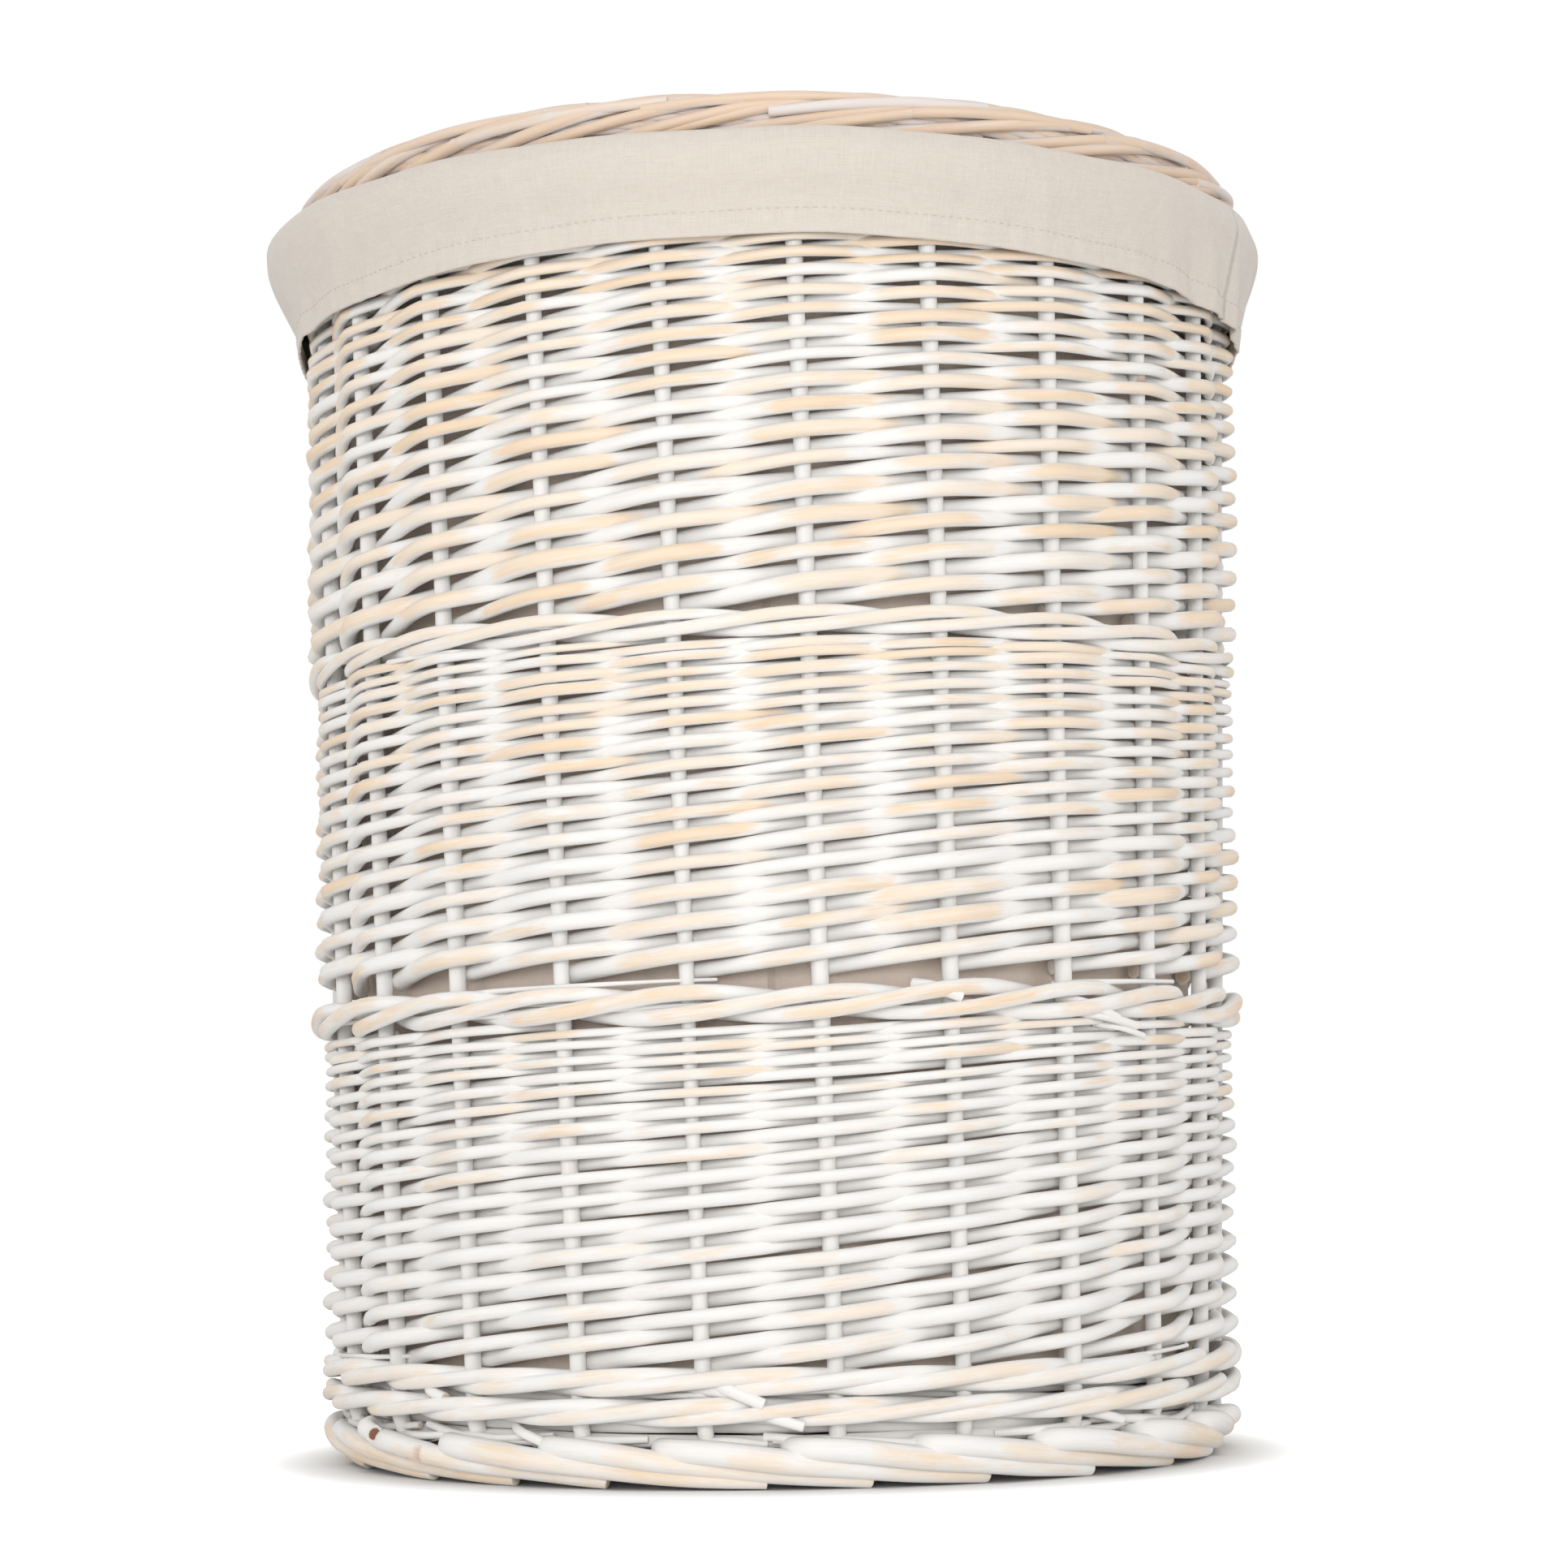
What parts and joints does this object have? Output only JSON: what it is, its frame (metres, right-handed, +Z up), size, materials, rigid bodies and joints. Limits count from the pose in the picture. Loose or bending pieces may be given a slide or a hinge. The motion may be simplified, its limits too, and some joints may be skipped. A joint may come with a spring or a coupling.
{
  "type": "laundry basket",
  "caption": "Round whitewashed woven willow laundry basket with a cotton liner folded over the rim as a cuff, and a flat woven lift-off lid.",
  "frame": {"origin": "middle of the foot's underside, on the floor", "axes": "+Z up, along the basket's round axis; -Y is the front that the picture shows, +X to its right"},
  "size_m": [0.4615, 0.4615, 0.5764],
  "materials": {
    "willow_weave": "matt whitewash rubbed back to pale wood",
    "willow_border": "matt whitewash rubbed back to pale wood",
    "willow_stake": "matt whitewash",
    "willow_stick": "matt whitewash",
    "cotton": "unbleached plain-weave cotton"
  },
  "bodies": {
    "basket": {"foot_border": "willow_border", "base_wale": "willow_weave", "lower_siding": "willow_weave", "lower_wale": "willow_weave", "middle_siding": "willow_weave", "upper_wale": "willow_weave", "upper_siding": "willow_weave", "rim_border": "willow_border", "base_weave": "willow_weave", "base_slit_stick_1": "willow_stick", "base_slit_stick_2": "willow_stick", "base_slit_stick_3": "willow_stick", "base_slit_stick_4": "willow_stick", "base_through_stick_1": "willow_stick", "base_through_stick_2": "willow_stick", "base_through_stick_3": "willow_stick", "base_through_stick_4": "willow_stick", "side_stake_01": "willow_stake", "side_stake_02": "willow_stake", "side_stake_03": "willow_stake", "side_stake_04": "willow_stake", "side_stake_05": "willow_stake", "side_stake_06": "willow_stake", "side_stake_07": "willow_stake", "side_stake_08": "willow_stake", "side_stake_09": "willow_stake", "side_stake_10": "willow_stake", "side_stake_11": "willow_stake", "side_stake_12": "willow_stake", "side_stake_13": "willow_stake", "side_stake_14": "willow_stake", "side_stake_15": "willow_stake", "side_stake_16": "willow_stake", "side_stake_17": "willow_stake", "side_stake_18": "willow_stake", "side_stake_19": "willow_stake", "side_stake_20": "willow_stake", "side_stake_21": "willow_stake", "side_stake_22": "willow_stake", "side_stake_23": "willow_stake"},
    "liner": {"liner_wall": "cotton", "liner_bottom": "cotton", "liner_cuff": "cotton"},
    "lid": {"lid_border": "willow_border", "lid_weave": "willow_weave", "lid_slit_stick_1": "willow_stick", "lid_slit_stick_2": "willow_stick", "lid_slit_stick_3": "willow_stick", "lid_slit_stick_4": "willow_stick", "lid_through_stick_1": "willow_stick", "lid_through_stick_2": "willow_stick", "lid_through_stick_3": "willow_stick", "lid_through_stick_4": "willow_stick"}
  },
  "joints": [
    {"name": "liner_lift", "type": "slide", "parent": "basket", "child": "liner", "axis": [0, 0, 1], "range_m": [0, 0.56]},
    {"name": "lid_lift", "type": "slide", "parent": "liner", "child": "lid", "axis": [0, 0, 1], "range_m": [0, 0.3]}
  ]
}
